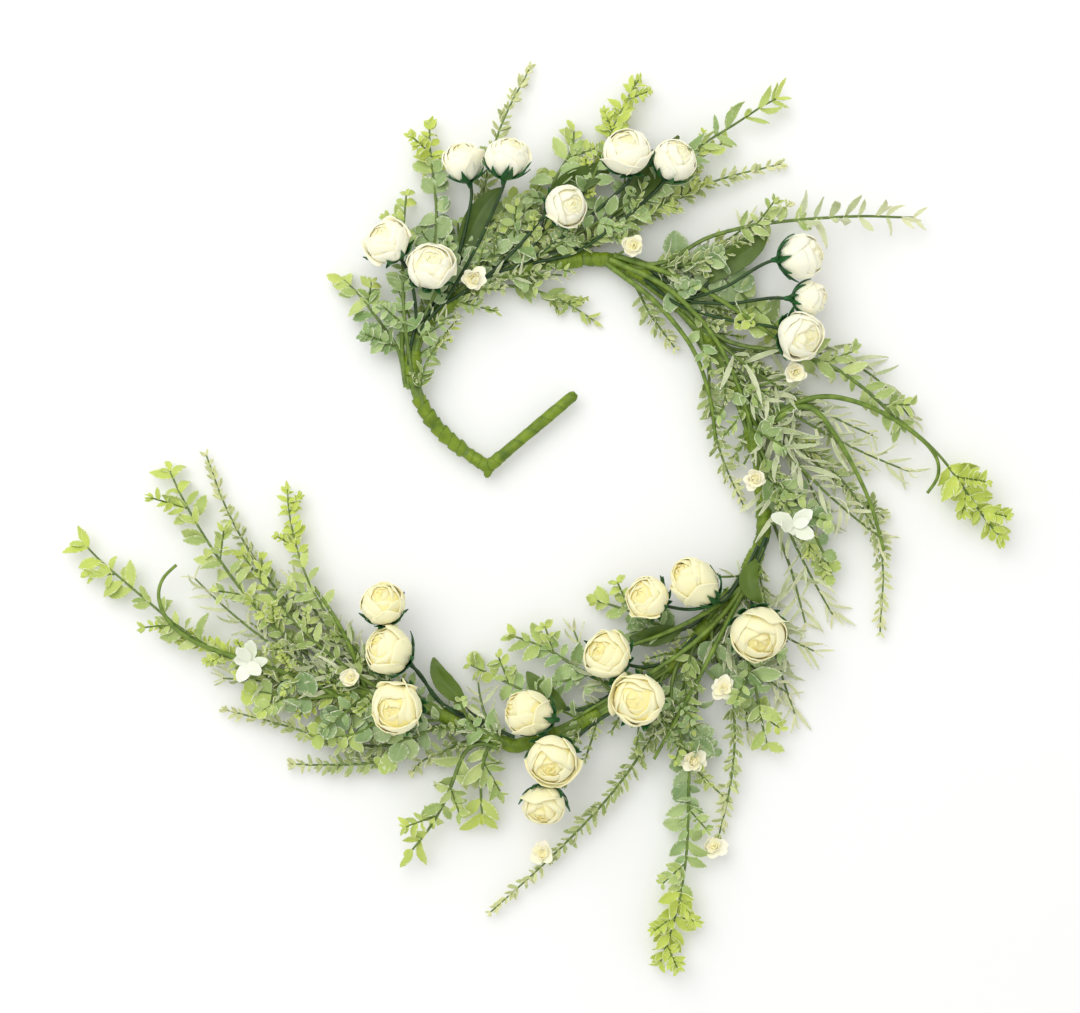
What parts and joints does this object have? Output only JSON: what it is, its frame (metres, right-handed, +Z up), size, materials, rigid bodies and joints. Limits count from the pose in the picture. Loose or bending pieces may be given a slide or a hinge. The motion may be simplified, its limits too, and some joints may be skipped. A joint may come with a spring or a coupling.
{
  "type": "flower crown",
  "caption": "Flexible open flower crown of coated wire stems, bound leafy sprays and cream rosebuds, with a folded end that hooks it closed round a head.",
  "frame": {"origin": "middle of the footprint, on the table the open crown lies on", "axes": "+Z up from the table, along the axis of the head opening; +X towards the crown's right garland and +Y towards its upper garland"},
  "size_m": [0.4582, 0.449, 0.044],
  "materials": {
    "coated_stem": "satin lime-olive plastic coating",
    "core_wire": "drawn steel wire",
    "stem_tape": "waxy wound stem tape",
    "rose_petals": "soft matte ivory cloth",
    "rose_calyx": "satin dark green plastic",
    "rose_stem": "satin dark green plastic",
    "heather": "matte sage with cream tips",
    "eucalyptus": "matte frosted sage",
    "willow": "matte sage",
    "long_branches": "matte yellow-green, pale edges",
    "lacy_fern": "matte sage",
    "filler_flowers": "soft matte cream cloth"
  },
  "bodies": {
    "upper_garland": {"upper_main_stem": "coated_stem", "upper_core_wire": "core_wire", "upper_tape_bands": "stem_tape", "upper_heather": "heather", "upper_eucalyptus": "eucalyptus", "upper_lacy_fern": "lacy_fern", "upper_filler_flowers": "filler_flowers", "rose_pick_1_stems": "rose_stem", "rose_pick_1_calyxes": "rose_calyx", "rose_pick_1_heads": "rose_petals", "rose_pick_2_stems": "rose_stem", "rose_pick_2_calyxes": "rose_calyx", "rose_pick_2_heads": "rose_petals", "rose_pick_3_stems": "rose_stem", "rose_pick_3_calyxes": "rose_calyx", "rose_pick_3_heads": "rose_petals", "hook_wrap": "stem_tape"},
    "right_garland": {"right_main_stem": "coated_stem", "right_core_wire": "core_wire", "right_tape_bands": "stem_tape", "right_heather": "heather", "right_eucalyptus": "eucalyptus", "right_long_branches": "long_branches", "right_willow": "willow", "right_filler_flowers": "filler_flowers", "rose_pick_4_stems": "rose_stem", "rose_pick_4_calyxes": "rose_calyx", "rose_pick_4_heads": "rose_petals", "right_bend": "coated_stem"},
    "lower_garland": {"lower_main_stem": "coated_stem", "lower_core_wire": "core_wire", "lower_tape_bands": "stem_tape", "lower_heather": "heather", "lower_eucalyptus": "eucalyptus", "lower_willow": "willow", "lower_filler_flowers": "filler_flowers", "rose_pick_5_stems": "rose_stem", "rose_pick_5_calyxes": "rose_calyx", "rose_pick_5_heads": "rose_petals", "rose_pick_6_stems": "rose_stem", "rose_pick_6_calyxes": "rose_calyx", "rose_pick_6_heads": "rose_petals", "rose_pick_7_stems": "rose_stem", "rose_pick_7_calyxes": "rose_calyx", "rose_pick_7_heads": "rose_petals", "lower_bend": "coated_stem"},
    "tail_garland": {"tail_main_stem": "coated_stem", "tail_core_wire": "core_wire", "tail_tape_bands": "stem_tape", "tail_heather": "heather", "tail_long_branches": "long_branches", "tail_low_sprays": "eucalyptus", "tail_filler_flowers": "filler_flowers", "rose_pick_8_stems": "rose_stem", "rose_pick_8_calyxes": "rose_calyx", "rose_pick_8_heads": "rose_petals", "tail_bend": "coated_stem"},
    "hook": {"hook_leg": "coated_stem", "hook_core_wire": "core_wire", "hook_bend": "coated_stem"}
  },
  "joints": [
    {"name": "hook_bend_hinge", "type": "hinge", "parent": "upper_garland", "child": "hook", "pos_m": [-0.025, 0.022, 0.0084], "axis": [0, 0, 1], "range_deg": [-80, 20], "deforming": ["hook_bend"]},
    {"name": "right_bend_hinge", "type": "hinge", "parent": "upper_garland", "child": "right_garland", "pos_m": [0.036, 0.126, 0.0084], "axis": [0, 0, 1], "range_deg": [-11, 8], "deforming": ["right_bend"]},
    {"name": "lower_bend_hinge", "type": "hinge", "parent": "right_garland", "child": "lower_garland", "pos_m": [0.113, -0.012, 0.0084], "axis": [0, 0, 1], "range_deg": [-11, 8], "deforming": ["lower_bend"]},
    {"name": "tail_bend_hinge", "type": "hinge", "parent": "lower_garland", "child": "tail_garland", "pos_m": [-0.012, -0.118, 0.0084], "axis": [0, 0, 1], "range_deg": [-12, 20], "deforming": ["tail_bend"]}
  ]
}
